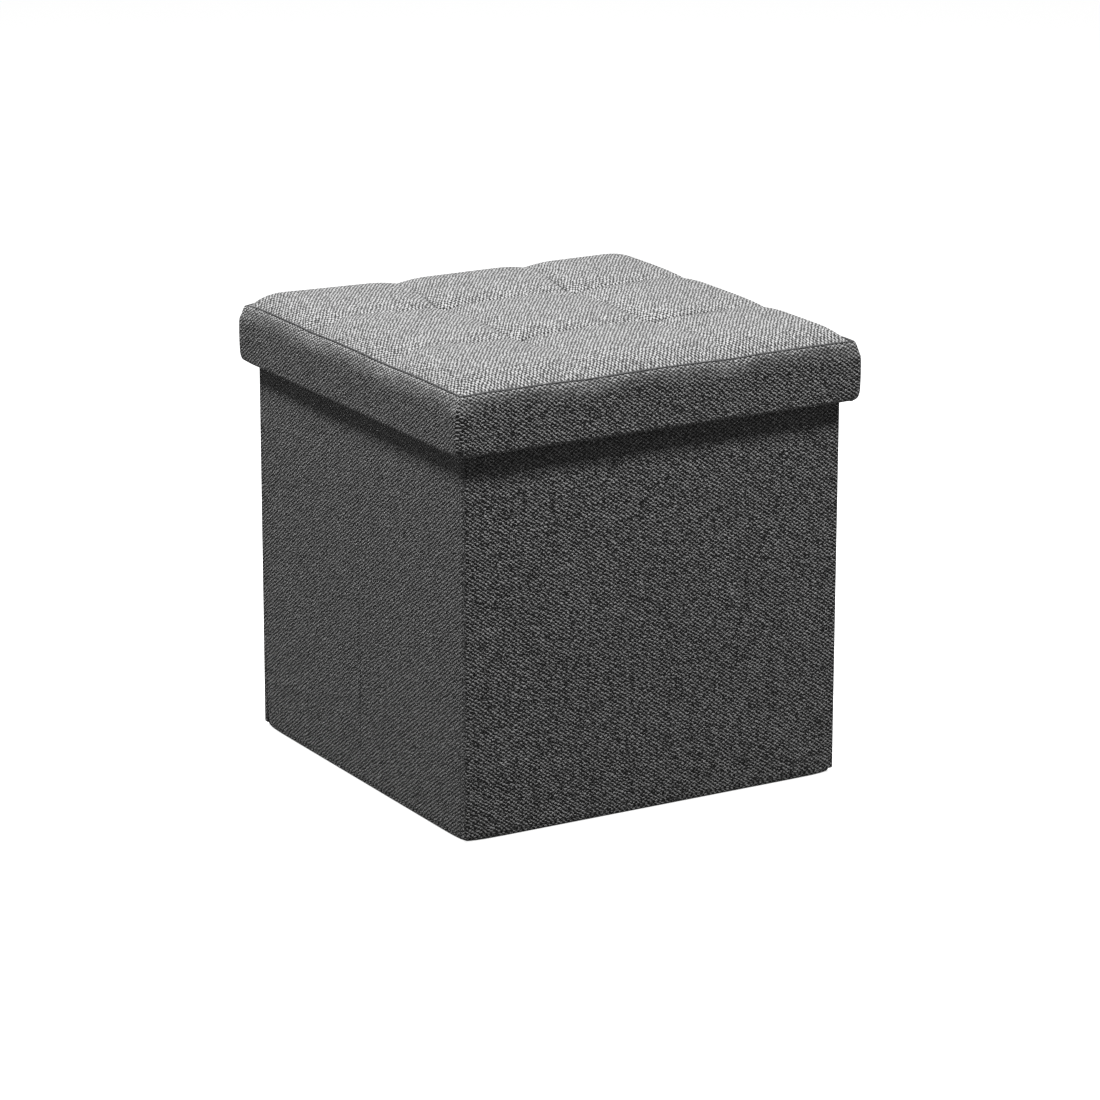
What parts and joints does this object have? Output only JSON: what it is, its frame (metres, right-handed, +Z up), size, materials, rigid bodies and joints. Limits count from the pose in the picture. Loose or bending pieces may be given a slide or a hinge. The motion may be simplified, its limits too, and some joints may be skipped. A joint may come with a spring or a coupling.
{
  "type": "storage ottoman",
  "caption": "Square fabric storage ottoman: a folding box with halved side walls under a tufted, padded lift-off lid.",
  "frame": {"origin": "centre of the footprint on the floor", "axes": "+Z up, the front wall faces -Y, +X is to the right seen from the front"},
  "size_m": [0.38, 0.38, 0.3862],
  "materials": {
    "grey_fabric": "coarse mixed-grey woven linen look, matt",
    "board": "raw fibreboard",
    "lining": "thin spun-bonded lining, matt",
    "foam": "soft open foam",
    "thread": "sewing thread and piped seam",
    "ribbon": "woven ribbon",
    "washer": "moulded"
  },
  "bodies": {
    "front_wall": {"front_board": "board", "front_cover": "grey_fabric", "front_lining": "lining", "front_left_corner_seam": "thread", "front_right_corner_seam": "thread", "base_cover": "grey_fabric", "base_board": "board", "base_lining": "lining", "base_ribbon": "ribbon"},
    "left_front_half": {"left_front_board": "board", "left_front_cover": "grey_fabric", "left_front_lining": "lining"},
    "left_rear_half": {"left_rear_board": "board", "left_rear_cover": "grey_fabric", "left_rear_lining": "lining", "left_fold_seam": "thread"},
    "back_wall": {"back_board": "board", "back_cover": "grey_fabric", "back_lining": "lining", "back_left_corner_seam": "thread", "back_right_corner_seam": "thread"},
    "right_front_half": {"right_front_board": "board", "right_front_cover": "grey_fabric", "right_front_lining": "lining"},
    "right_rear_half": {"right_rear_board": "board", "right_rear_cover": "grey_fabric", "right_rear_lining": "lining", "right_fold_seam": "thread"},
    "lid": {"lid_board": "board", "lid_rim_front": "board", "lid_rim_back": "board", "lid_rim_left": "board", "lid_rim_right": "board", "lid_band_padding": "foam", "lid_band_cover": "grey_fabric", "lid_edge_seam": "thread", "lid_foam": "foam", "lid_top_cover": "grey_fabric", "lid_tuft_ties": "thread", "lid_tuft_washers": "washer", "lid_lining": "lining"}
  },
  "joints": [
    {"name": "wall_fold", "type": "hinge", "parent": "front_wall", "child": "left_front_half", "pos_m": [-0.171, -0.1692, 0.18], "axis": [0, 0, 1], "range_deg": [-88, 0]},
    {"name": "left_middle_fold", "type": "hinge", "parent": "left_front_half", "child": "left_rear_half", "pos_m": [-0.178, 0, 0.18], "axis": [0, 0, 1], "range_deg": [0, 176]},
    {"name": "back_left_corner_fold", "type": "hinge", "parent": "left_rear_half", "child": "back_wall", "pos_m": [-0.171, 0.1692, 0.18], "axis": [0, 0, 1], "range_deg": [-88, 0]},
    {"name": "front_right_corner_fold", "type": "hinge", "parent": "front_wall", "child": "right_front_half", "pos_m": [0.171, -0.1692, 0.18], "axis": [0, 0, 1], "range_deg": [0, 88]},
    {"name": "right_middle_fold", "type": "hinge", "parent": "right_front_half", "child": "right_rear_half", "pos_m": [0.178, 0, 0.18], "axis": [0, 0, 1], "range_deg": [-176, 0]},
    {"name": "lid_lift", "type": "slide", "parent": "front_wall", "child": "lid", "axis": [0, 0, 1], "range_m": [0, 0.35]}
  ],
  "couplings": [
    {"joint": "left_middle_fold", "follows": "wall_fold", "ratio": -2},
    {"joint": "back_left_corner_fold", "follows": "wall_fold", "ratio": 1},
    {"joint": "front_right_corner_fold", "follows": "wall_fold", "ratio": -1},
    {"joint": "right_middle_fold", "follows": "wall_fold", "ratio": 2}
  ]
}
